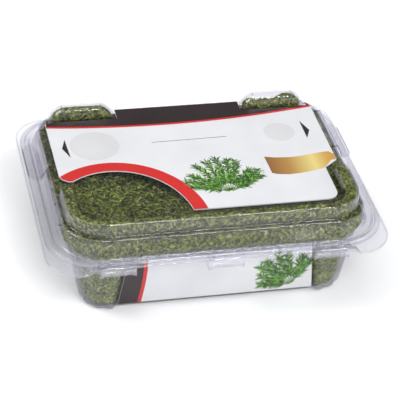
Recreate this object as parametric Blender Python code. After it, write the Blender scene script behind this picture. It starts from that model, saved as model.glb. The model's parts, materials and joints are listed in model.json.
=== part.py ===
"""A clear hinged clamshell box, packed full of dried dill weed.

The tub and the lid are thin thermoformed sheet. The lid folds up and forwards on three
short curls of film along the front edge. A label lies on the lid and another on the tub's
front wall, and a strip of clear film at each side seals the lid's shoulder.
All sizes below are millimetres. The model is in metres, standing on z = 0, with the
middle of the base at the origin, the hinge towards -Y and the long side along X.
"""

import math
import random

import bmesh
import bpy

MM = 0.001

# The driving sizes: the flange as seen from above, and the levels above the table
FLANGE_LENGTH = 100.0
FLANGE_FRONT = 39.8
FLANGE_BACK = 40.0
TUB_DEPTH = 20.0
SHEET = 0.6
GAP = 0.3
LID_PANEL_RISE = 6.4
STACKING_RISE = 10.2

# The tub's walls lean out from the base to the flange
TUB_TOP = (42.6, 34.6)
TUB_BASE = (38.7, 31.6)
TUB_TOP_RADIUS = 12.5
TUB_BASE_RADIUS = 7.6
BASE_FILLET = 1.4
FLUTES = 3
FLUTE_DEPTH = 0.55
RECESS_DEPTH = 1.8
RECESS_HALF = (29.2, 27.4)
RECESS_LEAN = 0.8

# The flange's front edge is set back between the two front corners, to make room to fold
SETBACK_HALF = 39.0
SETBACK = 2.4
SETBACK_LEAN = 0.8
FLANGE_RADIUS = 11.0

# The lid: its flange, the bead on that flange, and the drafted body above it
LID_FLANGE = {"x": 49.2, "front": 37.1, "back": 38.7}
LID_FLANGE_RADIUS = 14.0
LID_FOOT = (45.0, 34.6)
LID_SHOULDER = (44.0, 33.2)
LID_FOOT_RADIUS = 12.0
LID_SHOULDER_RADIUS = 10.0
BEAD_HEIGHT = 0.8
SHOULDER_FILLET = 0.9

# The raised rim runs round the lid's front half, and two lugs stand at the back corners
RIM_MIDDLE = (40.7, 29.1)
RIM_RADIUS = 8.6
RIM_LEG_END = -9.0
RIM_HALF_WIDTH = 2.65
LUG_MIDDLE = (29.9, 29.9)
LUG_HALF = (9.9, 2.65)
LUG_LEAN = (2.8, 0.6)

# The hinge axis lies in front of both flanges, level with the gap between them
HINGE_Y = -38.7
HINGE_Z = TUB_DEPTH + GAP / 2
CURL_RADIUS = 1.3
CURL_SHEET = 0.5
CURL_LENGTH = 10.4
CURL_REACH = 50.0
CURL_STEPS = 10
CURL_PLACES = {"left": -30.7, "middle": 0.0, "right": 30.7}

LABEL = 0.3
LABEL_HALF = 41.6
LABEL_FRONT_HALF = 37.2
LABEL_FRONT_EDGE = -22.7
LABEL_BACK_EDGE = 31.4
ARCH_MIDDLE = (-27.0, -26.0)
ARCH_HALF = (21.0, 25.2)
FRONT_LABEL_HALF = (28.8, 26.7)
FRONT_LABEL_SPAN = (1.6, 18.4)

SEAL_MIDDLE = 13.4
SEAL_HALF = 10.0

DILL_CLEAR = 0.5
DILL_RELIEF = 0.5
DILL_LEDGE = 0.5
TOP_BITS = 120
SIDE_BITS = 70
SIDE_SINK = 0.45
SIDE_LEVELS = (5.0, 8.0, 11.0, 14.0, 17.0)
BIT_SIZE = (4.2, 0.8, 0.7)

CORNER_STEPS = 12
SEED = 11


def start_empty():
    """Remove every object of the open scene."""
    for item in list(bpy.data.objects):
        bpy.data.objects.remove(item, do_unlink=True)


def material(name, colour, roughness, alpha=1.0):
    """A plain Principled material."""
    made = bpy.data.materials.new(name)
    made.use_nodes = True
    shader = made.node_tree.nodes["Principled BSDF"]
    shader.inputs["Base Color"].default_value = (*colour, 1.0)
    shader.inputs["Roughness"].default_value = roughness
    shader.inputs["Metallic"].default_value = 0.0
    shader.inputs["Alpha"].default_value = alpha
    return made


def add_object(name, mesh_tool, surface=None, parent=None):
    """Turn a bmesh in millimetres into a named object in metres."""
    bmesh.ops.scale(mesh_tool, vec=(MM, MM, MM), verts=mesh_tool.verts)
    bmesh.ops.recalc_face_normals(mesh_tool, faces=mesh_tool.faces)
    mesh = bpy.data.meshes.new(name)
    mesh_tool.to_mesh(mesh)
    mesh_tool.free()
    item = bpy.data.objects.new(name, mesh)
    bpy.context.collection.objects.link(item)
    if surface:
        mesh.materials.append(surface)
    item.parent = parent
    return item


def hide_tool(item):
    """Mark an object that only cuts or joins another."""
    item.hide_render = True
    item.display_type = "WIRE"
    return item


def add_boolean(item, operation, tool):
    """Join a tool to an object, or cut it out of it."""
    step = item.modifiers.new(f"{operation.lower()} {tool.name}", "BOOLEAN")
    step.operation = operation
    step.solver = "EXACT"
    step.object = hide_tool(tool)


def outline(half_x, front, back, radius, flute=0.0, front_dent=None, back_dent=None):
    """A rounded rectangle from above, counter-clockwise, as a list of (x, y).

    Each corner has CORNER_STEPS steps and may be fluted. A dent is (half width, depth,
    lean): it sets the middle of the front or back side in. Every outline has the same
    number of points, so that any two can be joined.
    """
    points = []
    for quarter, (side, edge) in enumerate(((1, -front), (1, back), (-1, back), (-1, -front))):
        middle_x = side * (half_x - radius)
        middle_y = edge + radius if edge < 0 else edge - radius
        for step in range(CORNER_STEPS + 1):
            turn = math.radians(90 * (quarter - 1) + 90 * step / CORNER_STEPS)
            wave = (1 - math.cos(2 * math.pi * FLUTES * step / CORNER_STEPS)) / 2
            reach = radius - flute * wave
            points.append((middle_x + reach * math.cos(turn), middle_y + reach * math.sin(turn)))
        if quarter == 1:
            points += dented_side(half_x - radius, back, back_dent, -1)
        if quarter == 3:
            points += dented_side(half_x - radius, -front, front_dent, 1)
    return points


def dented_side(reach, edge, dent, way):
    """Four points along the front (way 1) or back (way -1) side, set in by its dent."""
    half, depth, lean = dent or (reach * 0.6, 0.0, 1.0)
    inner = edge + depth if edge < 0 else edge - depth
    return [
        (-way * (half + lean), edge),
        (-way * half, inner),
        (way * half, inner),
        (way * (half + lean), edge),
    ]


def loft(rings):
    """A closed body through a list of (height, outline) rings, with both ends capped."""
    mesh_tool = bmesh.new()
    loops = []
    for height, points in rings:
        loops.append([mesh_tool.verts.new((x, y, height)) for x, y in points])
    for low, high in zip(loops, loops[1:]):
        for index in range(len(low)):
            after = (index + 1) % len(low)
            mesh_tool.faces.new((low[index], low[after], high[after], high[index]))
    mesh_tool.faces.new(loops[0])
    mesh_tool.faces.new(loops[-1])
    return mesh_tool


def tub_outline(height, inset):
    """The tub's wall at a height above the table, moved in by inset."""
    share = height / TUB_DEPTH
    half_x = TUB_BASE[0] + (TUB_TOP[0] - TUB_BASE[0]) * share - inset
    half_y = TUB_BASE[1] + (TUB_TOP[1] - TUB_BASE[1]) * share - inset
    radius = TUB_BASE_RADIUS + (TUB_TOP_RADIUS - TUB_BASE_RADIUS) * share - inset
    dent_half = RECESS_HALF[0] + (RECESS_HALF[1] - RECESS_HALF[0]) * share + inset / 2
    dent_half = min(dent_half, half_x - radius - RECESS_LEAN - 0.2)
    dent = (dent_half, RECESS_DEPTH, RECESS_LEAN)
    return outline(half_x, half_y, half_y, radius, FLUTE_DEPTH, dent, dent)


def flange_outline():
    """The outer edge of the tub's flange."""
    notch = (SETBACK_HALF - SETBACK_LEAN, SETBACK, SETBACK_LEAN)
    half_x = FLANGE_LENGTH / 2
    return outline(half_x, FLANGE_FRONT, FLANGE_BACK, FLANGE_RADIUS - SETBACK_LEAN, front_dent=notch)


def build_tub(film):
    """The tub: outside from the base up, over the flange, and down the inside."""
    fillet = ((0.0, BASE_FILLET), (0.3, 0.55), (BASE_FILLET, 0.0))
    under_flange = TUB_DEPTH - SHEET
    rings = [(height, tub_outline(height, inset)) for height, inset in fillet]
    rings.append((under_flange, tub_outline(under_flange, 0.0)))
    rings.append((under_flange, flange_outline()))
    rings.append((TUB_DEPTH, flange_outline()))
    rings.append((TUB_DEPTH, tub_outline(TUB_DEPTH, SHEET)))
    for height, inset in reversed(fillet):
        rings.append((height + SHEET, tub_outline(height + SHEET, inset + SHEET)))
    return add_object("tub_shell", loft(rings), film)


def lid_body_outline(share, inset=0.0):
    """The lid's body between its foot (share 0) and its shoulder (share 1)."""
    half_x = LID_FOOT[0] + (LID_SHOULDER[0] - LID_FOOT[0]) * share - inset
    half_y = LID_FOOT[1] + (LID_SHOULDER[1] - LID_FOOT[1]) * share - inset
    radius = LID_FOOT_RADIUS + (LID_SHOULDER_RADIUS - LID_FOOT_RADIUS) * share - inset
    return outline(half_x, half_y, half_y, radius)


def lid_flange_outline(share):
    """The lid's flange between the body's foot (share 0) and its outer edge (share 1)."""
    half_x = LID_FOOT[0] + (LID_FLANGE["x"] - LID_FOOT[0]) * share
    front = LID_FOOT[1] + (LID_FLANGE["front"] - LID_FOOT[1]) * share
    back = LID_FOOT[1] + (LID_FLANGE["back"] - LID_FOOT[1]) * share
    radius = LID_FOOT_RADIUS + (LID_FLANGE_RADIUS - LID_FOOT_RADIUS) * share
    return outline(half_x, front, back, radius)


def build_lid(film):
    """The lid: its top from the panel down and out over the bead, then its underside."""
    low = TUB_DEPTH + GAP
    top = low + SHEET
    panel = TUB_DEPTH + LID_PANEL_RISE
    round_over = SHOULDER_FILLET
    rings = [(panel, lid_body_outline(1.0, round_over))]
    rings.append((panel - 0.25, lid_body_outline(1.0, 0.3)))
    rings.append((panel - round_over, lid_body_outline(1.0)))
    rings.append((top + 0.5, lid_body_outline(0.08)))
    bead = ((0.1, 0.0), (0.34, 0.0), (0.42, 1.0), (0.66, 1.0), (0.74, 0.0), (1.0, 0.0))
    for share, lift in bead:
        rings.append((top + BEAD_HEIGHT * lift, lid_flange_outline(share)))
    rings.append((low, lid_flange_outline(1.0)))
    rings.append((low, lid_body_outline(0.0, SHEET)))
    rings.append((panel - round_over - 0.1, lid_body_outline(1.0, SHEET)))
    rings.append((panel - SHEET, lid_body_outline(1.0, SHEET + round_over * 0.8)))
    lid = add_object("lid_shell", loft(rings), film)
    for name, rise, thin in (("rim", 0.0, 0.0), ("rim hollow", -SHEET, SHEET)):
        tool = add_object(name, loft(rim_rings(panel, rise, thin)), parent=lid)
        add_boolean(lid, "DIFFERENCE" if thin else "UNION", tool)
    for side, way in (("left", -1), ("right", 1)):
        for name, rise, thin in (("lug", 0.0, 0.0), ("lug hollow", -SHEET, SHEET)):
            tool = add_object(f"{name} {side}", loft(lug_rings(panel, way, rise, thin)), parent=lid)
            add_boolean(lid, "DIFFERENCE" if thin else "UNION", tool)
    return lid


def rim_outline(half_width):
    """The U of the raised rim: its outer side, an end, its inner side and the other end."""
    reach_x, reach_y = RIM_MIDDLE
    bend_x, bend_y = reach_x - RIM_RADIUS, RIM_RADIUS - reach_y
    path = [(-reach_x, RIM_LEG_END, 180.0)]
    for middle, start in ((-bend_x, 180.0), (bend_x, 270.0)):
        for step in range(7):
            turn = math.radians(start + 15.0 * step)
            spot_x = middle + RIM_RADIUS * math.cos(turn)
            path.append((spot_x, bend_y + RIM_RADIUS * math.sin(turn), start + 15.0 * step))
    path.append((reach_x, RIM_LEG_END, 360.0))

    def moved(spot, by):
        x, y, way = spot
        return (x + by * math.cos(math.radians(way)), y + by * math.sin(math.radians(way)))

    points = [moved(spot, half_width) for spot in path]
    points += round_end(reach_x, half_width)
    points += [moved(spot, -half_width) for spot in reversed(path)]
    points += round_end(-reach_x, half_width)
    return points


def round_end(middle_x, half_width):
    """The points between the two sides at a leg's round end."""
    turns = (math.radians(degrees) for degrees in (36, 72, 108, 144))
    return [(middle_x + half_width * math.cos(t), RIM_LEG_END + half_width * math.sin(t)) for t in turns]


def rim_rings(panel, rise, thin):
    """The rim's rings from inside the panel's sheet up to its rounded top."""
    top = TUB_DEPTH + STACKING_RISE + rise
    foot = panel - SHEET / 2 if not thin else panel - SHEET - GAP
    widths = ((foot, 0.0), (top - 0.9, 0.4), (top - 0.3, 0.65), (top, 1.15))
    return [(height, rim_outline(RIM_HALF_WIDTH - thin - less)) for height, less in widths]


def lug_rings(panel, way, rise, thin):
    """A stacking lug's rings, narrowing from its foot to its rounded top."""
    top = TUB_DEPTH + STACKING_RISE + rise
    foot = panel - SHEET / 2 if not thin else panel - SHEET - GAP
    rings = []
    for height, share in ((foot, 0.0), (top - 0.8, 0.85), (top - 0.2, 1.05), (top, 1.3)):
        half_x = LUG_HALF[0] - LUG_LEAN[0] * share - thin
        half_y = LUG_HALF[1] - LUG_LEAN[1] * share - thin
        corner = min(half_y, 1.8 - thin)
        middle_x = way * LUG_MIDDLE[0]
        points = [(middle_x + x, LUG_MIDDLE[1] + y) for x, y in plain_box(half_x, half_y, corner)]
        rings.append((height, points))
    return rings


def plain_box(half_x, half_y, radius):
    """A small rounded rectangle with three steps to a corner."""
    points = []
    for quarter, (side_x, side_y) in enumerate(((1, -1), (1, 1), (-1, 1), (-1, -1))):
        for step in range(4):
            turn = math.radians(90 * (quarter - 1) + 30 * step)
            x = side_x * (half_x - radius) + radius * math.cos(turn)
            points.append((x, side_y * (half_y - radius) + radius * math.sin(turn)))
    return points


def build_curl(name, middle_x, film):
    """A folded curl of film round the hinge axis, open towards the two flanges."""
    sweep = 360 - 2 * CURL_REACH
    turns = [CURL_REACH + sweep * step / CURL_STEPS for step in range(CURL_STEPS + 1)]
    section = []
    for radius, order in ((CURL_RADIUS, turns), (CURL_RADIUS - CURL_SHEET, reversed(turns))):
        for degrees in order:
            turn = math.radians(degrees)
            section.append((HINGE_Y + radius * math.cos(turn), HINGE_Z + radius * math.sin(turn)))
    mesh_tool = bmesh.new()
    start = [mesh_tool.verts.new((middle_x - CURL_LENGTH / 2, y, z)) for y, z in section]
    face = mesh_tool.faces.new(start)
    grown = bmesh.ops.extrude_face_region(mesh_tool, geom=[face])
    moved = [item for item in grown["geom"] if isinstance(item, bmesh.types.BMVert)]
    bmesh.ops.translate(mesh_tool, vec=(CURL_LENGTH, 0, 0), verts=moved)
    return add_object(name, mesh_tool, film)


def plate(points, low, high):
    """A flat plate with the given outline between two heights."""
    return loft([(low, points), (high, points)])


def arc(middle, half, start, end, steps):
    """Points on an ellipse from one angle to another, in degrees."""
    turns = (math.radians(start + (end - start) * step / steps) for step in range(steps + 1))
    return [(middle[0] + half[0] * math.cos(t), middle[1] + half[1] * math.sin(t)) for t in turns]


def label_outline():
    """The lid's label, with its arched window at the front left and notches for the lugs."""
    corner = 3.5
    front = LABEL_FRONT_HALF
    notch_in = LUG_MIDDLE[0] - LUG_HALF[0] - 0.6
    notch_out = LUG_MIDDLE[0] + LUG_HALF[0] + 0.6
    notch_y = LUG_MIDDLE[1] - LUG_HALF[1] - 0.6
    points = arc((front - corner, LABEL_FRONT_EDGE + corner), (corner, corner), -90, 0, 5)
    points += [(front, -7.0), (LABEL_HALF, -3.4)]
    right = [(LABEL_HALF, 25.4), (40.9, 27.6), (notch_out, 28.6), (notch_out, notch_y)]
    right += [(notch_in, notch_y), (notch_in, LABEL_BACK_EDGE)]
    points += right + [(-x, y) for x, y in reversed(right)]
    points += [(-LABEL_HALF, -1.4), (-40.9, -3.2), (-39.4, -4.4)]
    points += arc(ARCH_MIDDLE, ARCH_HALF, 122, 8, 14)
    points.append((ARCH_MIDDLE[0] + ARCH_HALF[0] - 0.2, LABEL_FRONT_EDGE))
    return points


def build_front_label(paper):
    """The label on the tub's front wall, a thin plate that leans with that wall."""
    mesh_tool = bmesh.new()
    lean = (TUB_TOP[1] - TUB_BASE[1]) / TUB_DEPTH
    corners = []
    for out in (GAP, GAP + LABEL):
        for x, z in ((-1, 0), (1, 0), (1, 1), (-1, 1)):
            height = FRONT_LABEL_SPAN[z]
            wall = TUB_BASE[1] + lean * height - RECESS_DEPTH
            corners.append(mesh_tool.verts.new((x * FRONT_LABEL_HALF[z], -wall - out, height)))
    for side in ((0, 1, 2, 3), (4, 5, 6, 7), (0, 1, 5, 4), (1, 2, 6, 5), (2, 3, 7, 6), (3, 0, 4, 7)):
        mesh_tool.faces.new([corners[index] for index in side])
    return add_object("label_front", mesh_tool, paper)


def build_seal(name, way, film):
    """A strip of film from beside the label, over the lid's shoulder, out to its flange."""
    panel = TUB_DEPTH + LID_PANEL_RISE
    flange = TUB_DEPTH + GAP + SHEET
    over_bead = flange + BEAD_HEIGHT + GAP
    profile = (
        (LABEL_HALF + 0.4, panel + GAP, 0.0),
        (LID_SHOULDER[0] - 0.2, panel + GAP, 0.0),
        (LID_SHOULDER[0] + 0.55, panel - 0.8, 0.0),
        (LID_FOOT[0] + 0.9, over_bead + 0.3, 0.4),
        (LID_FOOT[0] + 1.6, over_bead, 0.6),
        (LID_FLANGE["x"] - 0.9, over_bead, 1.4),
        (LID_FLANGE["x"] - 0.1, over_bead - 0.2, 3.2),
    )
    mesh_tool = bmesh.new()
    rows = []
    for lift in (0.0, LABEL):
        for x, z, less in profile:
            reach = SEAL_HALF - less
            ends = (SEAL_MIDDLE - reach, SEAL_MIDDLE + reach)
            spread = lift * 0.8
            rows.append([mesh_tool.verts.new((way * (x + spread), y, z + lift)) for y in ends])
    count = len(profile)
    for base in (0, count):
        for index in range(base, base + count - 1):
            mesh_tool.faces.new((*rows[index], *reversed(rows[index + 1])))
    for index in range(count - 1):
        for end in (0, 1):
            low, high = (index, index + 1), (count + index + 1, count + index)
            mesh_tool.faces.new([rows[row][end] for row in low + high])
    for index in (0, count - 1):
        mesh_tool.faces.new((*rows[index], *reversed(rows[index + count])))
    return add_object(name, mesh_tool, film)


def bumps(x, y, z):
    """A fixed relief between 0 and 1, with lumps a few millimetres across."""
    first = math.sin(1.9 * x + 0.7 * z) * math.cos(1.7 * y - 0.9 * z)
    second = math.sin(0.83 * x - 1.21 * y + 0.6) * math.cos(0.77 * z + 0.31 * x)
    return 0.5 + 0.25 * first + 0.25 * second


def dill_outline(height):
    """The fill's side at a height, just clear of the tub and, above it, of the lid."""
    clear = SHEET + DILL_CLEAR
    if height < TUB_DEPTH + DILL_LEDGE:
        points = tub_outline(min(height, TUB_DEPTH), clear)
    else:
        points = lid_body_outline((height - TUB_DEPTH) / LID_PANEL_RISE, clear + 0.1)
    rough = []
    for x, y in points:
        dent = DILL_RELIEF * bumps(x, y, height)
        size = math.hypot(x, y)
        rough.append((x - dent * x / size, y - dent * y / size))
    return rough


def build_dill(leaf):
    """The packed fill: a lumpy core, and needle bits that lie on it and are fused to it."""
    low = SHEET + DILL_CLEAR
    top = TUB_DEPTH + LID_PANEL_RISE - SHEET - DILL_CLEAR
    ledge = TUB_DEPTH + DILL_LEDGE
    heights = (low + 1.6, 6.5, 11.0, 15.5, ledge - 0.15, ledge, top - 2.2, top - 1.2)
    rings = [(low, tub_outline(low, SHEET + DILL_CLEAR + BASE_FILLET))]
    rings += [(height, dill_outline(height)) for height in heights]
    last = [(x * 0.965, y * 0.965) for x, y in dill_outline(top - 1.2)]
    rings.append((top - DILL_RELIEF, last))
    core = add_object("dill_weed", loft(rings), leaf)
    bits = bpy.data.collections.new("dill bits")
    bpy.context.scene.collection.children.link(bits)
    draw = random.Random(SEED)
    for index in range(TOP_BITS):
        x, y = spread_spot(index, TOP_BITS)
        lie = top - DILL_RELIEF + draw.uniform(-0.1, 0.12)
        turn = (draw.uniform(-0.05, 0.05), draw.uniform(-0.05, 0.05), draw.uniform(0, math.pi))
        add_bit(f"top bit {index}", (x, y, lie), turn, bits, draw)
    for index in range(SIDE_BITS):
        height = SIDE_LEVELS[index % len(SIDE_LEVELS)]
        wall = tub_outline(height, SHEET + DILL_CLEAR)
        spans = [pair for pair in zip(wall, wall[1:] + wall[:1]) if math.dist(*pair) > 20.0]
        start, end = spans[index % len(spans)]
        share = draw.uniform(0.07, 0.93)
        along = math.atan2(end[1] - start[1], end[0] - start[0])
        x = start[0] + (end[0] - start[0]) * share - math.sin(along) * SIDE_SINK
        y = start[1] + (end[1] - start[1]) * share + math.cos(along) * SIDE_SINK
        tilt = draw.uniform(-0.9, 0.9)
        add_bit(f"side bit {index}", (x, y, height), (0.0, tilt, along), bits, draw)
    fuse = core.modifiers.new("fuse bits", "BOOLEAN")
    fuse.operation = "UNION"
    fuse.solver = "MANIFOLD"
    fuse.operand_type = "COLLECTION"
    fuse.collection = bits
    apply_modifiers(core)
    keep_outer_skin(core.data)
    for item in list(bits.objects):
        bpy.data.objects.remove(item, do_unlink=True)
    bpy.data.collections.remove(bits)
    return core


def spread_spot(index, count):
    """An even scatter of spots over the fill's top, on a sunflower spiral made oblong."""
    golden = math.pi * (3 - math.sqrt(5))
    reach = math.sqrt((index + 0.5) / count)
    x = math.cos(index * golden) * reach
    y = math.sin(index * golden) * reach
    stretch = 1 / max(abs(x), abs(y), 1e-6) * reach if reach > 0.6 else 1.0
    stretch = min(stretch, 1.18)
    return 36.5 * x * stretch, 26.5 * y * stretch


def add_bit(name, middle, turn, bits, draw):
    """One needle bit: a small box, narrowed to both ends."""
    mesh_tool = bmesh.new()
    bmesh.ops.create_cube(mesh_tool, size=1.0)
    length = BIT_SIZE[0] * draw.uniform(0.7, 1.15)
    bmesh.ops.scale(mesh_tool, vec=(length, BIT_SIZE[1], BIT_SIZE[2]), verts=mesh_tool.verts)
    ends = [vert for vert in mesh_tool.verts if vert.co.x > 0]
    bmesh.ops.scale(mesh_tool, vec=(1.0, 0.5, 0.8), verts=ends)
    item = add_object(name, mesh_tool)
    item.location = [value * MM for value in middle]
    item.rotation_euler = turn
    bpy.context.collection.objects.unlink(item)
    bits.objects.link(item)


def apply_modifiers(item):
    """Keep the evaluated mesh as the object's own."""
    bpy.context.view_layer.update()
    evaluated = item.evaluated_get(bpy.context.evaluated_depsgraph_get())
    mesh = bpy.data.meshes.new_from_object(evaluated)
    item.modifiers.clear()
    old = item.data
    item.data = mesh
    bpy.data.meshes.remove(old)


def keep_outer_skin(mesh):
    """Drop loose scraps and sealed hollows: only the largest connected skin stays."""
    mesh_tool = bmesh.new()
    mesh_tool.from_mesh(mesh)
    left = set(mesh_tool.faces)
    skins = []
    while left:
        skin, edge = set(), [left.pop()]
        while edge:
            face = edge.pop()
            skin.add(face)
            near = {other for side in face.edges for other in side.link_faces} & left
            left -= near
            edge += near
        skins.append(skin)
    keep = max(skins, key=lambda skin: sum(face.calc_area() for face in skin))
    spare = [face for skin in skins if skin is not keep for face in skin]
    bmesh.ops.delete(mesh_tool, geom=spare, context="FACES")
    mesh_tool.to_mesh(mesh)
    mesh_tool.free()


def main():
    start_empty()
    film = material("clear PET sheet", (0.86, 0.87, 0.92), 0.08, 0.35)
    seal_film = material("clear seal film", (0.9, 0.9, 0.95), 0.15, 0.4)
    paper = material("white printed label", (0.87, 0.87, 0.88), 0.3)
    leaf = material("dried dill weed", (0.12, 0.15, 0.03), 0.9)
    axis = bpy.data.objects.new("hinge axis", None)
    axis.location = (0.0, HINGE_Y * MM, HINGE_Z * MM)
    bpy.context.collection.objects.link(axis)
    build_tub(film)
    lid = build_lid(film)
    for side, middle_x in CURL_PLACES.items():
        build_curl(f"hinge_strap_{side}", middle_x, film)
    panel = TUB_DEPTH + LID_PANEL_RISE
    top_label = add_object("label_top", plate(label_outline(), panel + GAP, panel + GAP + LABEL), paper)
    build_front_label(paper)
    moving = [lid, top_label]
    for side, way in (("left", -1), ("right", 1)):
        moving.append(build_seal(f"seal_{side}", way, seal_film))
    build_dill(leaf)
    bpy.context.view_layer.update()
    for item in moving:
        item.parent = axis
        item.matrix_parent_inverse = axis.matrix_world.inverted()


main()
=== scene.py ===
# %% [markdown]
# # A clear clamshell box, packed with dried dill weed
#
# The real object is one small food box. A tub and a lid are formed from a single thin sheet
# of clear PET, and the lid folds over on three straps of the same sheet along the front.
# The box is packed full of chopped, dried dill, so what the eye meets is mostly herb seen
# through plastic, with white printed labels on the lid and on the tub's front.
#
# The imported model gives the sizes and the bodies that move. Each cell after this one makes
# one piece or one finish in its place. Lengths are drawn in millimetres.

import json
import math

import bmesh
import bpy
import numpy as np
from mathutils import Matrix, Vector, noise

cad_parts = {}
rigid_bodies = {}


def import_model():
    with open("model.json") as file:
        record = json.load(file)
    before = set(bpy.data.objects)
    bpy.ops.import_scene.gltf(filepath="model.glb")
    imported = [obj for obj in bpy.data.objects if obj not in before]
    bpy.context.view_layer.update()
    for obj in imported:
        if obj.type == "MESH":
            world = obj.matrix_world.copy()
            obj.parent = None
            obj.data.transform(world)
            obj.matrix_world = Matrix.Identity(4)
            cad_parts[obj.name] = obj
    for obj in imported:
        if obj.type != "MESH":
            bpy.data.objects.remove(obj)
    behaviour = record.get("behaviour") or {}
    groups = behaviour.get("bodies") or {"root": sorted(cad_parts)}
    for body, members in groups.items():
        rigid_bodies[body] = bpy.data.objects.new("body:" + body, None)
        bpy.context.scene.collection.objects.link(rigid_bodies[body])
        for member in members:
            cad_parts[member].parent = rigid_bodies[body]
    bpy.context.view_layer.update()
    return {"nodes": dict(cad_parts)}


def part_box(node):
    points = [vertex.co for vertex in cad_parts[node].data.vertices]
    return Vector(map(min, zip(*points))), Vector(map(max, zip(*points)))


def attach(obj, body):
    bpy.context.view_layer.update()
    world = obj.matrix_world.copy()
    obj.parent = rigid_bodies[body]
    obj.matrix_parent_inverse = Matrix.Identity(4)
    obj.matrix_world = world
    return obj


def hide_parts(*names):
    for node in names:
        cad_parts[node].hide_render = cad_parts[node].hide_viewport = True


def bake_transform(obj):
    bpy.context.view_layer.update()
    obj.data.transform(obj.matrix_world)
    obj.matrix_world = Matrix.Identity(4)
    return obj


for item in list(bpy.data.objects):
    bpy.data.objects.remove(item, do_unlink=True)
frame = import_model()
MM = 0.001


def box_mm(node):
    """The lowest and highest corner of a CAD node, in millimetres."""
    return [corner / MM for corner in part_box(node)]


tub_low, tub_high = box_mm("tub_shell")
lid_low, lid_high = box_mm("lid_shell")
label_low, label_high = box_mm("label_top")
front_low, front_high = box_mm("label_front")

# %% [markdown]
# ## The camera
#
# The photograph looks down at the box from the front left, with a long lens, so that the
# sides hardly converge. The lens, the angles and the distance were solved from the lines of
# the flange, the lid and the label. The camera is aimed with its three axes: its Z axis
# points back from the object, and the picture is turned a few degrees about that axis.

# %% Place the camera
CAMERA_LENS = 159.7
CAMERA_TURN = math.radians(-14.92)
CAMERA_HEIGHT = math.radians(34.98)
CAMERA_ROLL = math.radians(4.25)
CAMERA_DISTANCE = 526.98
PICTURE_SHIFT = (3.43 / 400, -17.67 / 400)

back = Vector((
    math.sin(CAMERA_TURN) * math.cos(CAMERA_HEIGHT),
    -math.cos(CAMERA_TURN) * math.cos(CAMERA_HEIGHT),
    math.sin(CAMERA_HEIGHT),
))
level = Vector((math.cos(CAMERA_TURN), math.sin(CAMERA_TURN), 0.0))
rise = back.cross(level)
picture_x = level * math.cos(CAMERA_ROLL) + rise * math.sin(CAMERA_ROLL)
picture_y = rise * math.cos(CAMERA_ROLL) - level * math.sin(CAMERA_ROLL)
aim = Vector((0.0, 0.0, tub_high.z))

lens = bpy.data.cameras.new("camera")
lens.lens = CAMERA_LENS
lens.shift_x, lens.shift_y = PICTURE_SHIFT
lens.clip_start = 0.01
camera = bpy.data.objects.new("camera", lens)
bpy.context.collection.objects.link(camera)
axes = Matrix((picture_x, picture_y, back)).transposed().to_4x4()
camera.matrix_world = Matrix.Translation((aim + back * CAMERA_DISTANCE) * MM) @ axes
bpy.context.scene.camera = camera
bpy.context.scene.view_settings.view_transform = "Standard"
print("camera at", [round(value, 3) for value in camera.matrix_world.translation])

# %% [markdown]
# ## Helpers for finishes
#
# A finish is a small tree of shader nodes. One function adds any node with its settings and
# its links, so every tree below reads from top to bottom. Colours are written as the sRGB
# hex values of a paint chart, and one function turns them into the linear values that the
# shader works with. Patterns read Object coordinates, which are metres here, so a pattern's
# scale is one over its real size.

# %% Helpers for finishes
def colour(code):
    """An sRGB hex colour as a linear RGBA value."""
    parts = [int(code[start:start + 2], 16) / 255 for start in (1, 3, 5)]
    linear = [part / 12.92 if part <= 0.04045 else ((part + 0.055) / 1.055) ** 2.4 for part in parts]
    return (*linear, 1.0)


def new_finish(name):
    """An empty node material, with its tree and its output node."""
    finish = bpy.data.materials.new(name)
    finish.use_nodes = True
    finish.node_tree.nodes.clear()
    return finish, finish.node_tree, finish.node_tree.nodes.new("ShaderNodeOutputMaterial")


def add_node(tree, kind, settings=None, **inputs):
    """Add a node. An input given as a (node, output) pair is linked, and others are set."""
    made = tree.nodes.new("ShaderNode" + kind)
    for key, value in (settings or {}).items():
        setattr(made, key, value)
    for key, value in inputs.items():
        numbered = key[0] == "i" and key[1:].isdigit()
        socket = made.inputs[int(key[1:]) if numbered else key.replace("_", " ")]
        if isinstance(value, tuple) and isinstance(value[0], bpy.types.Node):
            tree.links.new(value[0].outputs[value[1]], socket)
        else:
            socket.default_value = value
    return made


def ramp(tree, source, stops):
    """A colour ramp through (position, hex colour) stops."""
    made = add_node(tree, "ValToRGB", i0=source)
    steps = made.color_ramp.elements
    while len(steps) < len(stops):
        steps.new(0.5)
    for step, (position, code) in zip(steps, stops):
        step.position = position
        step.color = colour(code)
    return made


def noise_on(tree, place, size, detail, roughness=0.5):
    """A noise over an object, with patches of a size in mm."""
    return add_node(
        tree, "TexNoise", Vector=(place, "Object"), Scale=1 / (size * MM), Detail=detail, Roughness=roughness,
    )


print("helpers ready")

# %% [markdown]
# ## The floor and the studio light
#
# The box was photographed on plain white, under large soft lights. A wide pale floor takes
# the place of the paper. The room is bright in front of the box and dim behind it: the
# upright walls mirror the bright side, and the flat lid mirrors the dim one, so the herb
# under it keeps its deep colour. The lights are area lamps. The one in front and to the
# right draws the thin white lines along the formed edges, and weaker ones fill the shadows.
# Two small cards near the ground put the two grey patches on the lid's front wall.

# %% Floor and lights
FLOOR_HALF = 6.0
ROOM_FRONT = 0.70
ROOM_BACK = 0.16
floor_mesh = bpy.data.meshes.new("floor")
floor_shape = bmesh.new()
bmesh.ops.create_grid(floor_shape, x_segments=1, y_segments=1, size=FLOOR_HALF)
floor_shape.to_mesh(floor_mesh)
floor_shape.free()
floor = bpy.data.objects.new("floor", floor_mesh)
bpy.context.collection.objects.link(floor)
paper, tree, output = new_finish("white studio paper")
shader = add_node(tree, "BsdfDiffuse", Color=colour("#fafafb"))
tree.links.new(shader.outputs[0], output.inputs[0])
floor_mesh.materials.append(paper)

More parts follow.
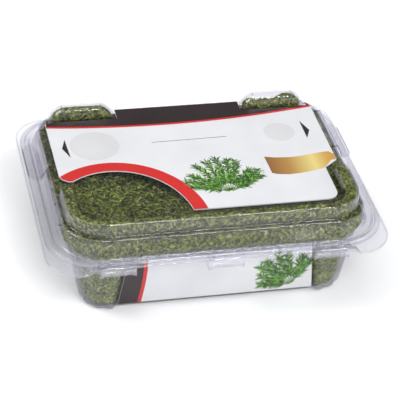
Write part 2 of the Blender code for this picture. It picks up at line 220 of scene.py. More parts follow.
world = bpy.data.worlds.new("studio")
world.use_nodes = True
room = world.node_tree.nodes["Background"]
room.inputs["Color"].default_value = (0.95, 0.96, 1.0, 1.0)
place = add_node(world.node_tree, "TexCoord")
parts = add_node(world.node_tree, "SeparateXYZ", i0=(place, "Generated"))
glow = add_node(
    world.node_tree, "MapRange", i0=(parts, 1), i1=-0.9, i2=0.4, i3=ROOM_FRONT, i4=ROOM_BACK,
)
world.node_tree.links.new(glow.outputs[0], room.inputs["Strength"])
bpy.context.scene.world = world

STUDIO_LAMPS = {
    "front_softbox": ((0.21, -0.62, 0.75), (0.42, 0.15), 4.6),
    "right_fill": ((0.80, -0.35, 0.60), (0.25, 0.30), 1.6),
    "left_fill": ((-0.70, 0.30, 0.75), (0.5, 0.5), 4.4),
    "top_fill": ((-0.15, 0.15, 1.2), (1.3, 1.1), 6.0),
    "left_card": ((0.115, -1.0, 0.04), (0.034, 0.08), 0.0035),
    "right_card": ((0.296, -1.0, 0.04), (0.026, 0.08), 0.012),
}
for name, (place, size, power) in STUDIO_LAMPS.items():
    lamp = bpy.data.lights.new(name, "AREA")
    lamp.shape = "RECTANGLE"
    lamp.size, lamp.size_y = size
    lamp.energy = power
    holder = bpy.data.objects.new(name, lamp)
    holder.location = place
    holder.rotation_euler = (-Vector(place)).to_track_quat("-Z", "Y").to_euler()
    holder.visible_camera = False
    bpy.context.collection.objects.link(holder)
print("lamps:", ", ".join(STUDIO_LAMPS))

# %% [markdown]
# ## Helpers for shapes
#
# A thermoformed wall is a stack of rounded outlines, so two helpers make every formed sheet
# here. The first draws an outline from a few corner points and rounds them with the bevel
# tool. The second starts with one flat face and insets it again and again, moving each new
# edge loop to the next outline and height. The last face is the flat bottom or top.

# %% Helpers for shapes
CORNER_STEPS = 14
CORNER_PLACES = (0, 5, 6, 11)
BEND_ROUND = 0.25
FLUTES = 3


def outline(half_x, front, back, radius, notches=(None, None), flute=0.0):
    """Points round a rounded rectangle. A notch is (half width, depth, lean) of a side set in."""
    corners = []
    for edge, way, notch in ((-front, 1, notches[0]), (back, -1, notches[1])):
        half, depth, lean = notch or (half_x * 0.5, 0.0, 1.0)
        side = ((-half_x, 0), (-half - lean, 0), (-half, depth), (half, depth), (half + lean, 0), (half_x, 0))
        corners += [(way * x, edge + way * y) for x, y in side]
    flat = bmesh.new()
    verts = [flat.verts.new((x, y, 0.0)) for x, y in corners]
    flat.faces.new(verts)
    turns = [verts[index] for index in CORNER_PLACES]
    bends = [vert for index, vert in enumerate(verts) if index not in CORNER_PLACES]
    for picked, offset, steps in ((turns, radius, CORNER_STEPS), (bends, BEND_ROUND, 2)):
        bmesh.ops.bevel(
            flat, geom=picked, offset=offset, offset_type="OFFSET",
            affect="VERTICES", segments=steps, profile=0.5, material=-1,
        )
    flat.faces.ensure_lookup_table()
    points = []
    for vert in flat.faces[0].verts:
        x, y = vert.co.xy
        centre_x = math.copysign(half_x - radius, x)
        centre_y = back - radius if y > 0 else radius - front
        over_x, over_y = (x - centre_x) * math.copysign(1, x), (y - centre_y) * math.copysign(1, y)
        if flute and over_x > 0 and over_y > 0:
            wave = (1 - math.cos(2 * math.pi * FLUTES * math.atan2(over_y, over_x) / (math.pi / 2))) / 2
            share = 1 - flute * wave / radius
            x, y = centre_x + (x - centre_x) * share, centre_y + (y - centre_y) * share
        points.append((x, y))
    flat.free()
    return points


def only(geom, kind):
    """The items of one kind, such as vertices, in what a bmesh operator gives back."""
    return [item for item in geom if isinstance(item, kind)]


def open_edges(shape):
    """The edges along a sheet's openings."""
    return [edge for edge in shape.edges if len(edge.link_faces) == 1]


def stack_outlines(rings, shape=None):
    """A formed sheet through (height, outline) rings, and the flat face inside the last."""
    shape = shape or bmesh.new()
    height, points = rings[0]
    face = shape.faces.new([shape.verts.new((x, y, height)) for x, y in points])
    for height, points in rings[1:]:
        bmesh.ops.inset_region(
            shape, faces=[face], thickness=0.01, use_even_offset=True, use_boundary=True,
        )
        for vert, (x, y) in zip(face.verts, points):
            vert.co = (x, y, height)
    return shape, face


def add_piece(shape, name, finishes, body=None, smooth=True, sheet=0.0, side=-1.0):
    """Turn a bmesh in millimetres into a piece in metres that rides on a body."""
    bmesh.ops.scale(shape, vec=(MM, MM, MM), verts=shape.verts)
    mesh = bpy.data.meshes.new(name)
    shape.to_mesh(mesh)
    shape.free()
    for finish in finishes:
        mesh.materials.append(finish)
    mesh.polygons.foreach_set("use_smooth", [smooth] * len(mesh.polygons))
    piece = bpy.data.objects.new(name, mesh)
    bpy.context.collection.objects.link(piece)
    if sheet:
        wall = piece.modifiers.new("sheet thickness", "SOLIDIFY")
        wall.thickness = sheet * MM
        wall.offset = side
        wall.use_even_offset = True
    if smooth:
        mesh.set_sharp_from_angle(angle=math.radians(50))
        piece.modifiers.new("flat faces stay flat", "WEIGHTED_NORMAL").keep_sharp = True
    if body:
        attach(piece, body)
    print(name, "-", len(mesh.polygons), "faces")
    return piece


# %% [markdown]
# ## Clear PET sheet
#
# PET is a clear, glossy plastic of IOR about 1.57, drawn hot over a mould. Face on it is
# nearly invisible. Edge on, along the ribs and the rounded edges, the eye looks through much
# more of it and it turns a greyish lavender. So the sheet is a Transparent shader whose tint
# deepens towards glancing angles, under a gloss. The share of gloss is Schlick's rule, a
# power of the Facing value, because that is the same on both faces of the sheet, while the
# Fresnel node turns the inner face into a mirror. The hot sheet is drawn slightly uneven,
# which breaks up the reflections. A thin white veil is also painted in, strongest along the
# front flanges and the straps: a painted reflection of the bright room, by height, faded behind.

# %% Clear PET finish
PET_IOR = 1.57
PET_MIRROR = ((PET_IOR - 1) / (PET_IOR + 1)) ** 2
PET_RIPPLE = 5.0
PET_CLEAR = "#fafafc"
PET_EDGE = "#6f6a89"
# Painted reflection: a thin white veil by height in mm, strongest at the front flanges and straps.
PET_PAINTED_SHEEN = (
    (16.0, "#101010"), (18.6, "#525252"), (20.9, "#565656"),
    (21.8, "#222222"), (24.5, "#181818"), (26.0, "#000000"),
)
# The painted reflection is full in front of the first y and fades to its share behind the second.
SHEEN_FADE_SPAN = (-36.0, -28.0)
SHEEN_BEHIND = 0.12
TRIM_BAND = (0.55, 0.3)
TRIM_TINT = 0.8


def clear_film(name, clear, edge, roughness, ripple, frost_and_sheen, trim=None):
    """Thin clear plastic: tinted where it is seen edge on, glossy, with a white share by height in mm,
    faded towards the back. On the PET that share is a painted reflection; on the seal it is milky frosting.

    With trim=(middle y, half width, reach in x) in mm, a film's cut edge is drawn darker.
    """
    finish, tree, output = new_finish(name)
    place = add_node(tree, "TexCoord")
    waves = noise_on(tree, place, PET_RIPPLE, 2.0, 0.45)
    bump = add_node(tree, "Bump", Strength=ripple, Distance=0.0004, Height=(waves, 0))
    facing = add_node(tree, "LayerWeight", Blend=0.5, Normal=(bump, 0))
    glancing = (facing, "Facing")
    parts = add_node(tree, "SeparateXYZ", i0=(place, "Object"))
    if trim:
        off = add_node(tree, "Math", {"operation": "SUBTRACT"}, i0=(parts, 1), i1=trim[0] * MM)
        for source, reach in (((off, 0), trim[1]), ((parts, 0), trim[2])):
            away = add_node(tree, "Math", {"operation": "ABSOLUTE"}, i0=source)
            start, end = ((reach - inset) * MM for inset in TRIM_BAND)
            rim = add_node(tree, "MapRange", i0=(away, 0), i1=start, i2=end, i4=TRIM_TINT)
            darker = add_node(tree, "Math", {"operation": "MAXIMUM"}, i0=glancing, i1=(rim, 0))
            glancing = (darker, 0)
    tint = ramp(tree, glancing, ((0.0, clear), (0.55, clear), (0.8, "#cfccd8"), (0.98, edge)))
    through = add_node(tree, "BsdfTransparent", Color=(tint, 0))
    gloss = add_node(
        tree, "BsdfPrincipled", Base_Color=(1.0, 1.0, 1.0, 1.0), Metallic=1.0,
        Roughness=roughness, Normal=(bump, 0),
    )
    glance = add_node(tree, "Math", {"operation": "POWER"}, i0=(facing, "Facing"), i1=5.0)
    share = add_node(
        tree, "MapRange", i0=(glance, 0), i1=0.0, i2=1.0, i3=PET_MIRROR, i4=0.9,
    )
    mixed = add_node(tree, "MixShader", i0=(share, 0), i1=(through, 0), i2=(gloss, 0))
    # A white diffuse share by height, faded towards the back: a painted reflection of the room on the PET, a
    # milky frosting on the seal.
    low, high = frost_and_sheen[0][0], frost_and_sheen[-1][0]
    level = add_node(tree, "MapRange", i0=(parts, 2), i1=low * MM, i2=high * MM)
    by_height = ramp(tree, (level, 0), [((height - low) / (high - low), code) for height, code in frost_and_sheen])
    near, far = (y * MM for y in SHEEN_FADE_SPAN)
    frontal = add_node(tree, "MapRange", i0=(parts, 1), i1=near, i2=far, i3=1.0, i4=SHEEN_BEHIND)
    share = add_node(tree, "Math", {"operation": "MULTIPLY"}, i0=(by_height, 0), i1=(frontal, 0))
    white = add_node(tree, "BsdfDiffuse", Color=colour("#e8e9f1"))
    mixed = add_node(tree, "MixShader", i0=(share, 0), i1=(mixed, 0), i2=(white, 0))
    tree.links.new(mixed.outputs[0], output.inputs[0])
    return finish


pet = clear_film("thermoformed clear PET", PET_CLEAR, PET_EDGE, 0.08, 0.12, PET_PAINTED_SHEEN)
SEAL_HAZE = ((0.0, "#303030"), (30.0, "#303030"))
seal_low, seal_high = box_mm("seal_right")
SEAL_TRIM = ((seal_low.y + seal_high.y) / 2, (seal_high.y - seal_low.y) / 2, seal_high.x)
seal_film = clear_film("clear seal film", "#fbfbfc", "#c3c1ce", 0.12, 0.3, SEAL_HAZE, SEAL_TRIM)
print("clear finishes:", pet.name, "and", seal_film.name)

# %% [markdown]
# ## The tub
#
# The tub's walls lean out from the base to a flat flange. The long sides are pressed in, to
# give the front label a flat bed, and the corners are fluted, which stiffens the thin wall.
# The sheet is drawn as the face seen from above, from the flange's edge down inside the wall
# to the base, and the Solidify modifier then gives it its 0.45 mm below and outwards. It
# replaces the thicker CAD shell.

# %% Form the tub
SHEET = 0.45
BASE = SHEET + 0.04
TUB_TOP_HALF = (42.6, 34.6)
TUB_BASE_HALF = (38.7, 31.6)
TUB_RADII = (7.6, 12.5)
RECESS_HALF = (29.2, 27.4)
RECESS_DEPTH = 1.8
RECESS_LEAN = 0.8
FLUTE_DEPTH = 0.6
FLANGE = (tub_high.x, -tub_low.y, tub_high.y, 10.2)
FLANGE_NOTCH = (38.2, 2.4, 0.8)


def tub_ring(height, inset):
    """The tub's wall at a height, moved in by inset."""
    share = height / tub_high.z
    half_x, half_y = (
        low + (high - low) * share - inset for low, high in zip(TUB_BASE_HALF, TUB_TOP_HALF)
    )
    radius = TUB_RADII[0] + (TUB_RADII[1] - TUB_RADII[0]) * share - inset
    notch_half = RECESS_HALF[0] + (RECESS_HALF[1] - RECESS_HALF[0]) * share + inset / 2
    notch_half = min(notch_half, half_x - radius - RECESS_LEAN - 0.3)
    notch = (notch_half, RECESS_DEPTH, RECESS_LEAN)
    flute = FLUTE_DEPTH * min(1.0, radius / TUB_RADII[0])
    return height, outline(half_x, half_y, half_y, radius, (notch, notch), flute)


def flange_ring(height, inset):
    """The tub flange's outline, set back at the front between its corners."""
    return height, outline(*(size - inset for size in FLANGE), (FLANGE_NOTCH, None))


rim_top = tub_high.z
FLANGE_EDGE = ((0.55, 0.0), (0.2, 0.0), (0.06, 0.06), (0.0, 0.2), (0.0, 0.5))
TUB_WALL = (
    (rim_top, 0.0), (rim_top - 0.12, SHEET - 0.12), (rim_top - 0.45, SHEET), (rim_top * 0.62, SHEET),
    (rim_top * 0.3, SHEET), (2.1, SHEET), (1.25, SHEET + 0.12), (0.75, SHEET + 0.5),
    (BASE, SHEET + 1.3), (BASE, SHEET + 1.7), (BASE, 6.0), (BASE + 0.5, 6.5), (BASE + 0.5, 6.9),
)
rings = [flange_ring(rim_top - drop, inset) for drop, inset in FLANGE_EDGE]
rings += [tub_ring(height, inset) for height, inset in TUB_WALL]
tub_shape, _ = stack_outlines(rings)
tub_sheet = add_piece(tub_shape, "tub_sheet", [pet], "tub", sheet=SHEET, side=-1.0)
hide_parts("tub_shell")

# %% [markdown]
# ## The lid
#
# The lid's flange carries a rounded bead, then the wall climbs to a flat panel. A raised rim
# runs round the front half of the panel, and two lugs stand at its back corners, for another
# box to stack on. The flange, wall and panel edge are one stack of outlines.

# %% Form the lid's flange, wall and panel edge
LID_FOOT = (45.0, 34.6, 34.6, 12.0)
LID_SHOULDER = (44.0, 33.2, 33.2, 10.0)
LID_FLANGE = (lid_high.x, -lid_low.y, lid_high.y, 14.0)
PANEL = label_low.z - 0.3
FLANGE_TOP = lid_low.z + 0.6


def between(first, second, share, inset=0.0):
    """A plain outline part of the way from one set of sizes to another."""
    return outline(*(a + (b - a) * share - inset for a, b in zip(first, second)))


BEAD_PROFILE = (
    (1.0, -0.42), (1.0, -0.16), (0.985, -0.04), (0.95, 0.0), (0.80, 0.0), (0.755, 0.06), (0.72, 0.3),
    (0.69, 0.6), (0.655, 0.75), (0.60, 0.8), (0.49, 0.8), (0.43, 0.75), (0.395, 0.6), (0.365, 0.3),
    (0.33, 0.06), (0.28, 0.0), (0.20, 0.0), (0.13, 0.04), (0.075, 0.14), (0.035, 0.32), (0.005, 0.62),
)
rings = [(FLANGE_TOP + lift, between(LID_FOOT, LID_FLANGE, share)) for share, lift in BEAD_PROFILE]
rings.append((FLANGE_TOP + 1.1, between(LID_FOOT, LID_SHOULDER, 0.20)))
rings.append((PANEL - 1.1, between(LID_FOOT, LID_SHOULDER, 1.0)))
for drop, inset in ((0.55, 0.08), (0.22, 0.3), (0.05, 0.65), (0.0, 1.0), (0.0, 1.25)):
    rings.append((PANEL - drop, between(LID_SHOULDER, LID_SHOULDER, 1.0, inset)))
lid_shape, panel_face = stack_outlines(rings)
bmesh.ops.delete(lid_shape, geom=[panel_face], context="FACES_ONLY")
print("lid wall:", len(lid_shape.faces), "faces")

# %% [markdown]
# ### The raised rim and the lugs
#
# The rim starts as one short edge across its left leg. Extruding it forwards, spinning it a
# quarter turn, and repeating that on the other side draws the flat U. Insets with a little
# rise each time then raise it with rounded shoulders. The lugs are two more small stacks.
# Last, the flat panel is filled between the wall, the rim and the lugs.

# %% Raise the rim and the lugs, and fill the panel
RIM_MIDDLE = (40.7, 29.1)
RIM_BEND = 8.6
RIM_HALF = 2.65
RIM_LEG_END = -9.0
RIM_RISE = lid_high.z - PANEL
LUG_MIDDLE = (29.9, 29.9)
LUG_HALF = (9.9, 2.65)
LUG_LEAN = (2.8, 0.6)


def rim_strip(shape, half_width, height, leg_end):
    """The flat U of the rim: extruded along its legs and front, spun round its bends."""
    reach_x, reach_y = RIM_MIDDLE
    bend_y = RIM_BEND - reach_y
    left = shape.verts.new((-reach_x - half_width, leg_end, height))
    right = shape.verts.new((-reach_x + half_width, leg_end, height))
    edge, faces = shape.edges.new((left, right)), []
    moves = (
        ((0.0, bend_y - leg_end, 0.0), (RIM_BEND - reach_x, bend_y, height)),
        ((2 * (reach_x - RIM_BEND), 0.0, 0.0), (reach_x - RIM_BEND, bend_y, height)),
        ((0.0, leg_end - bend_y, 0.0), None),
    )
    for shift, centre in moves:
        grown = bmesh.ops.extrude_edge_only(shape, edges=[edge])["geom"]
        ends = only(grown, bmesh.types.BMVert)
        bmesh.ops.translate(shape, vec=shift, verts=ends)
        faces += only(grown, bmesh.types.BMFace)
        edge = next(item for item in only(grown, bmesh.types.BMEdge) if set(item.verts) == set(ends))
        if centre:
            before = set(shape.faces)
            turned = bmesh.ops.spin(
                shape, geom=[edge, *edge.verts], cent=centre, axis=(0, 0, 1), angle=math.pi / 2,
                steps=9, use_merge=False, use_duplicate=False,
            )["geom_last"]
            faces += [face for face in shape.faces if face not in before]
            edge = only(turned, bmesh.types.BMEdge)[0]
    shape.normal_update()
    for face in faces:
        if face.normal.z < 0:
            face.normal_flip()
    tips = [vert for end in (faces[0], faces[-1]) for vert in end.verts]
    rounded = [vert for vert in tips if abs(vert.co.y - leg_end) < 0.01]
    kept = set(shape.faces) - set(faces)
    bmesh.ops.bevel(
        shape, geom=rounded, offset=half_width * 0.9, offset_type="OFFSET", affect="VERTICES",
        segments=6, profile=0.5, material=-1,
    )
    return [face for face in shape.faces if face not in kept]


def raise_region(shape, faces, steps):
    """Inset a flat region by each (inset, rise) in turn."""
    for inset, lift in steps:
        bmesh.ops.inset_region(
            shape, faces=faces, thickness=inset, depth=lift, use_even_offset=True, use_boundary=True,
        )


rim_faces = rim_strip(lid_shape, RIM_HALF, PANEL, RIM_LEG_END)
RIM_STEPS = (
    (0.08, 0.02), (0.12, 0.2), (0.3, RIM_RISE - 1.12), (0.15, 0.5), (0.2, 0.3), (0.3, 0.1), (0.25, 0.0),
)
raise_region(lid_shape, rim_faces, RIM_STEPS)
LUG_STEPS = (
    (0.0, -0.1), (0.02, -0.04), (0.3, 0.02), (1.3, 0.18), (2.2, 0.45), (RIM_RISE - 0.9, 0.72),
    (RIM_RISE - 0.4, 0.98), (RIM_RISE - 0.12, 1.35), (RIM_RISE, 1.9), (RIM_RISE, 2.4),
)
LUG_ROUND = 1.7


def lug_rings(way, inset=0.0):
    """The outlines of a lug, moved in by inset. The sheet's own lug has none."""
    rings = []
    for lift, share in LUG_STEPS:
        half_x = LUG_HALF[0] - LUG_LEAN[0] * min(share, 1.3) - inset
        half_y = LUG_HALF[1] - LUG_LEAN[1] * min(share, 1.9) - inset
        flat = outline(half_x, half_y, half_y, min(LUG_ROUND, half_y - 0.1))
        moved = [(x + way * LUG_MIDDLE[0], y + LUG_MIDDLE[1]) for x, y in flat]
        rings.append((PANEL + lift * (1 - inset / RIM_RISE), moved))
    return rings


for way in (-1, 1):
    stack_outlines(lug_rings(way), lid_shape)
openings = [edge for edge in open_edges(lid_shape) if edge.verts[0].co.z > PANEL - 0.5]
bmesh.ops.triangle_fill(lid_shape, edges=openings, use_beauty=True, normal=(0, 0, 1))
bmesh.ops.recalc_face_normals(lid_shape, faces=lid_shape.faces)
if sum(face.normal.z * face.calc_area() for face in lid_shape.faces) < 0:
    bmesh.ops.reverse_faces(lid_shape, faces=lid_shape.faces)
lid_sheet = add_piece(lid_shape, "lid_sheet", [pet], "lid", sheet=SHEET, side=-1.0)
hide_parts("lid_shell")

# %% [markdown]
# ## The hinge straps
#
# Three short straps of the same sheet join the two flanges. With the lid shut, each is
# folded into a loose loop in front of the flanges.

# %% Fold the hinge straps
STRAP_WIDTH = 10.4
STRAP_PLACES = {"left": -30.7, "middle": 0.0, "right": 30.7}
HINGE = (-38.7, tub_high.z + 0.15)
STRAP_REACH = 1.25
STRAP_TURN = 290
STRAP_FLARE = 0.30
STRAP_CRUMPLE = 0.10


def fold_strap(middle_x):
    """A grid bent into a loop that opens towards the flanges, flared at its two sides."""
    shape = bmesh.new()
    bmesh.ops.create_grid(shape, x_segments=12, y_segments=16, size=0.5)
    for vert in shape.verts:
        across, along = vert.co.x * 2, vert.co.y
        turn = math.radians(180 + STRAP_TURN * along)
        crumple = STRAP_CRUMPLE * math.sin(9 * across + 7 * along) * math.sin(13 * along - 4 * across)
        reach = STRAP_REACH * (0.98 + STRAP_FLARE * across ** 6 + crumple)
        y = max(HINGE[0] + reach * math.cos(turn) * 1.05, tub_low.y + 0.2)
        z = HINGE[1] - reach * math.sin(turn) * 1.25
        vert.co = (middle_x + across * STRAP_WIDTH / 2 * (1 + 0.04 * math.cos(turn)), y, z)
    bmesh.ops.recalc_face_normals(shape, faces=shape.faces)
    return shape


for side, middle_x in STRAP_PLACES.items():
    strap = add_piece(fold_strap(middle_x), f"hinge_film_{side}", [pet], sheet=0.3, side=0.0)
    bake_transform(strap)
    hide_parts(f"hinge_strap_{side}")

# %% [markdown]
# ## Dried dill weed
#
# Dill leaf dries to a dull olive and is chopped into fine threads and flakes a millimetre or
# two long, with a few pale bits of stem. No two bits have the same tone. Each finish here is
# a matt leaf surface whose colour follows a noise about one bit wide, so that neighbours
# differ, and a finer grain darkens the edges and veins.

# %% Dried leaf finishes
LEAF_PATCH = 1.1
LEAF_GRAIN = 0.22


def dried_leaf(name, stops, roughness=0.72):
    """Matt dried leaf: a tone for each bit, with a fine grain over it."""
    finish, tree, output = new_finish(name)
    place = add_node(tree, "TexCoord")
    tone = ramp(tree, (noise_on(tree, place, LEAF_PATCH, 1.0), 0), stops)
    grain = noise_on(tree, place, LEAF_GRAIN, 2.0, 0.6)
    shade = add_node(
        tree, "Mix", {"data_type": "RGBA", "blend_type": "MULTIPLY"},
        i0=0.45, i6=(tone, 0), i7=(grain, 0),
    )
    bump = add_node(tree, "Bump", Strength=0.5, Distance=0.0001, Height=(grain, 0))
    leaf = add_node(
        tree, "BsdfPrincipled", Base_Color=(shade, 2), Roughness=roughness, Normal=(bump, 0),
    )
    tree.links.new(leaf.outputs[0], output.inputs[0])
    return finish


leaf_finishes = [
    # The dark finish is dark bits of leaf, and also the lumps under the bits, where it is painted shade in
    # the gaps.
    dried_leaf("dark dried dill leaf and painted shade", ((0.3, "#23280d"), (0.5, "#3c4318"), (0.7, "#586022"))),
    dried_leaf("olive dried dill leaf", ((0.3, "#596522"), (0.5, "#859137"), (0.7, "#b2b856"))),
    dried_leaf("green dried dill leaf", ((0.3, "#667c2a"), (0.5, "#9aae44"), (0.7, "#cbd670"))),
    dried_leaf("dried dill stem", ((0.3, "#a39b68"), (0.5, "#d0c794"), (0.7, "#f0e8c0"))),
    dried_leaf("browned dill leaf", ((0.3, "#6a4720"), (0.5, "#99692e"), (0.7, "#c48434"))),
]
print(len(leaf_finishes), "leaf finishes")

# %% [markdown]
# ## The imported fill
#
# Most of the herb is out of sight, so the fill is one lump just inside the sheet, with a
# skin of loose bits lying on it. The lump is painted dark, as painted shade that shows in the
# gaps between the bits. The lump is a stack of outlines, remeshed into small even faces. Its
# skin is then pushed in by a noise as coarse as the clumps, and under the label's window it
# sinks a little, as the herb has settled there.

# %% Shape the imported lump
FILL_GAP = 0.45
FILL_VOXEL = 0.9
CLUMP = 3.2
WINDOW_MIDDLE = (-21.0, -5.0)
WINDOW_REACH = (20.0, 13.0)
SETTLED = 3.4
LOOSE_SHARE = 0.72
fill_low = SHEET + 0.55
fill_top = PANEL - SHEET - 1.05


def lid_ring(height, inset):
    """The inside of the lid's wall at a height, moved in by inset."""
    share = (height - FLANGE_TOP) / (PANEL - FLANGE_TOP)
    return height, between(LID_FOOT, LID_SHOULDER, share, SHEET + inset)


rings = [tub_ring(fill_low, SHEET + 1.9), tub_ring(fill_low + 0.7, SHEET + FILL_GAP + 0.3)]
rings += [tub_ring(height, SHEET + FILL_GAP) for height in (3.4, 8.0, 13.0, rim_top - 0.2)]
rings.append((rim_top + 0.75, tub_ring(rim_top, SHEET + FILL_GAP)[1]))
rings += [lid_ring(rim_top + 1.0, FILL_GAP), lid_ring(PANEL - 2.2, FILL_GAP)]
rings += [lid_ring(fill_top - 0.15, FILL_GAP + 0.9), lid_ring(fill_top, FILL_GAP + 2.0)]


def close_stack(rings):
    """A closed lump through a stack of outlines."""
    shape, _ = stack_outlines(rings)
    bmesh.ops.edgeloop_fill(shape, edges=open_edges(shape))
    bmesh.ops.recalc_face_normals(shape, faces=shape.faces)
    return shape


def window_share(x, y):
    """How far a point is from the middle of the settled herb: 0 there, and 1 where it ends."""
    return np.hypot((x - WINDOW_MIDDLE[0]) / WINDOW_REACH[0], (y - WINDOW_MIDDLE[1]) / WINDOW_REACH[1])


def roughen(piece, depth, voxel, sink=0.0):
    """Remesh a lump into even faces, push them in by a clump-sized noise, and sink the top."""
    remesh = piece.modifiers.new("even faces", "REMESH")
    remesh.mode = "VOXEL"
    remesh.voxel_size = voxel * MM
    bpy.context.view_layer.update()
    mesh = bpy.data.meshes.new_from_object(piece.evaluated_get(bpy.context.evaluated_depsgraph_get()))
    piece.modifiers.clear()
    finishes = list(piece.data.materials)
    piece.data = mesh
    mesh.materials.clear()
    for finish in finishes:
        mesh.materials.append(finish)
    for vert in mesh.vertices:
        spot = vert.co / MM
        push = depth * (0.5 + 0.5 * noise.noise(spot / CLUMP) + 0.3 * noise.noise(spot))
        vert.co -= vert.normal * push * MM
        if sink and spot.z > PANEL - 2.0:
            vert.co.z -= sink * max(0.0, 1 - window_share(spot.x, spot.y) ** 2) * MM
    mesh.update()
    return mesh


# The lump's dark finish is painted shade: it shows between the bits as the shade in the gaps.
fill = add_piece(close_stack(rings), "dill_fill", [leaf_finishes[0]], "tub", smooth=False)
fill_mesh = roughen(fill, 0.35, FILL_VOXEL, SETTLED)
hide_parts("dill_weed")
print("fill:", len(fill_mesh.polygons), "faces")

# %% [markdown]
# ### The bits that show
#
# A chopped bit is a thread or a flake, so a few small shapes are made once, from slim cones
# and prisms, and copied thousands of times. The random places come from a fixed seed: a
# triangle of the lump is picked by its area, then a spot in it, and the bit is laid flat on it
# with a small tilt. The copies share one mesh, which Blender handles far faster than objects.

# %% Bits of leaf and stem
def unit_mesh(shape):
    """A small bmesh as (points, triangles), ready to be copied many times."""
    bmesh.ops.triangulate(shape, faces=shape.faces)
    bmesh.ops.recalc_face_normals(shape, faces=shape.faces)
    shape.verts.index_update()
    points = np.array([vert.co for vert in shape.verts])
    triangles = np.array([[vert.index for vert in face.verts] for face in shape.faces])
    shape.free()
    return points, triangles


def small_bit(sides, tip, bend=0.0):
    """A unit bit along X: a cone or prism, bent at its middle, as (points, triangles)."""
    shape = bmesh.new()
    bmesh.ops.create_cone(shape, cap_ends=True, segments=sides, radius1=0.6, radius2=0.6 * tip, depth=1.0)
    bmesh.ops.remove_doubles(shape, verts=shape.verts, dist=0.001)
    bmesh.ops.rotate(shape, cent=(0, 0, 0), matrix=Matrix.Rotation(math.pi / 2, 3, "Y"), verts=shape.verts)
    if bend:
        whole = shape.verts[:] + shape.edges[:] + shape.faces[:]
        bmesh.ops.bisect_plane(shape, geom=whole, plane_co=(0, 0, 0), plane_no=(1, 0, 0))
        for vert in shape.verts:
            vert.co.z += bend * (1 - 4 * vert.co.x ** 2)
            vert.co.y += 0.5 * bend * (1 - 4 * vert.co.x ** 2)
    return unit_mesh(shape)


MOST_LEAN = 1.6


def lay_on(mesh, count, tilt, seed, region=None):
    """Random frames on a mesh: (spots, lengthways, sideways, outward) rows, in metres."""
    draw = np.random.default_rng(seed)
    mesh.calc_loop_triangles()
    corners = np.array([vert.co for vert in mesh.vertices])
    triangles = np.array([list(face.vertices) for face in mesh.loop_triangles])
    a, b, c = (corners[triangles[:, index]] for index in range(3))
    cross = np.cross(b - a, c - a)
    area = np.linalg.norm(cross, axis=1)
    weight = area * (region((a + b + c) / 3, cross / area[:, None]) if region else 1.0)
    picked = draw.choice(len(area), count, p=weight / weight.sum())
    u, v = draw.random(count), draw.random(count)
    over = u + v > 1
    u[over], v[over] = 1 - u[over], 1 - v[over]
    spots = a[picked] + u[:, None] * (b - a)[picked] + v[:, None] * (c - a)[picked]
    outward = (cross / area[:, None])[picked]
    along = np.cross(outward, draw.normal(size=(count, 3)))
    along /= np.linalg.norm(along, axis=1)[:, None]
    lean = np.clip(draw.normal(0.0, tilt, count), -MOST_LEAN * tilt, MOST_LEAN * tilt)[:, None]
    along = along * np.cos(lean) + outward * np.sin(lean)
    sideways = np.cross(outward, along)
    sideways /= np.linalg.norm(sideways, axis=1)[:, None]
    return spots, along, sideways, np.cross(along, sideways)


def copy_bits(name, body, kinds, places, finishes, seed, lift=0.15):
    """One piece of many bits. A kind is (share, unit bit, length, width, thickness, finish)."""
    draw = np.random.default_rng(seed)
    spots, along, sideways, outward = places
    count = len(spots)
    shares = np.array([kind[0] for kind in kinds])
    chosen = draw.choice(len(kinds), count, p=shares / shares.sum())
    points, triangles, tones, base = [], [], [], 0
    for index, (_, (unit, faces), length, width, thick, finish) in enumerate(kinds):
        mine = np.flatnonzero(chosen == index)
        size = [draw.uniform(low, high, len(mine)) * MM for low, high in (length, width, thick)]
        up = draw.uniform(0.0, lift, len(mine)) * MM
        body_points = spots[mine][:, None] + up[:, None, None] * outward[mine][:, None]
        for axis, scale, column in zip((along, sideways, outward), size, unit.T):
            body_points = body_points + (scale[:, None] * column)[:, :, None] * axis[mine][:, None]
        points.append(body_points.reshape(-1, 3))
        steps = base + np.arange(len(mine)) * len(unit)
        triangles.append((steps[:, None, None] + faces).reshape(-1, 3))
        tones.append(np.full(len(mine) * len(faces), finish))
        base += len(mine) * len(unit)
    mesh = bpy.data.meshes.new(name)
    mesh.from_pydata(np.concatenate(points).tolist(), [], np.concatenate(triangles).tolist())
    for finish in finishes:
        mesh.materials.append(finish)
    mesh.polygons.foreach_set("material_index", np.concatenate(tones))
    mesh.update()
    piece = bpy.data.objects.new(name, mesh)
    bpy.context.collection.objects.link(piece)
    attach(piece, body)
    print(name, "-", count, "bits,", len(mesh.polygons), "triangles")
    return piece


thread, flake, curl = small_bit(3, 0.0), small_bit(4, 0.7), small_bit(3, 0.0, bend=1.6)
DARK, OLIVE, GREEN, STEM, BROWN = range(5)
THREAD_GIRTH = ((0.20, 0.42), (0.14, 0.26))
CURL_GIRTH = ((0.16, 0.34), (0.16, 0.28))
PRESSED_BITS = (
    (0.22, thread, (0.7, 1.9), *THREAD_GIRTH, DARK),
    (0.25, thread, (0.7, 1.8), *THREAD_GIRTH, OLIVE),
    (0.13, flake, (0.4, 0.9), (0.22, 0.50), (0.10, 0.20), OLIVE),
    (0.25, thread, (0.7, 1.8), *THREAD_GIRTH, GREEN),
    (0.10, flake, (0.3, 0.8), (0.22, 0.45), (0.10, 0.20), GREEN),
    (0.035, flake, (0.4, 1.1), (0.18, 0.40), (0.12, 0.22), STEM),
    (0.015, thread, (0.5, 1.2), (0.25, 0.45), (0.12, 0.22), BROWN),
)
print("kinds of pressed bit:", len(PRESSED_BITS))

# %% Lay the bits against the sheet
def is_top(middle, normal):
    """1 on the top of the fill, and 0 elsewhere."""
    return ((normal[:, 2] > 0.7) & (middle[:, 2] > (PANEL - 5.0) * MM)).astype(float)


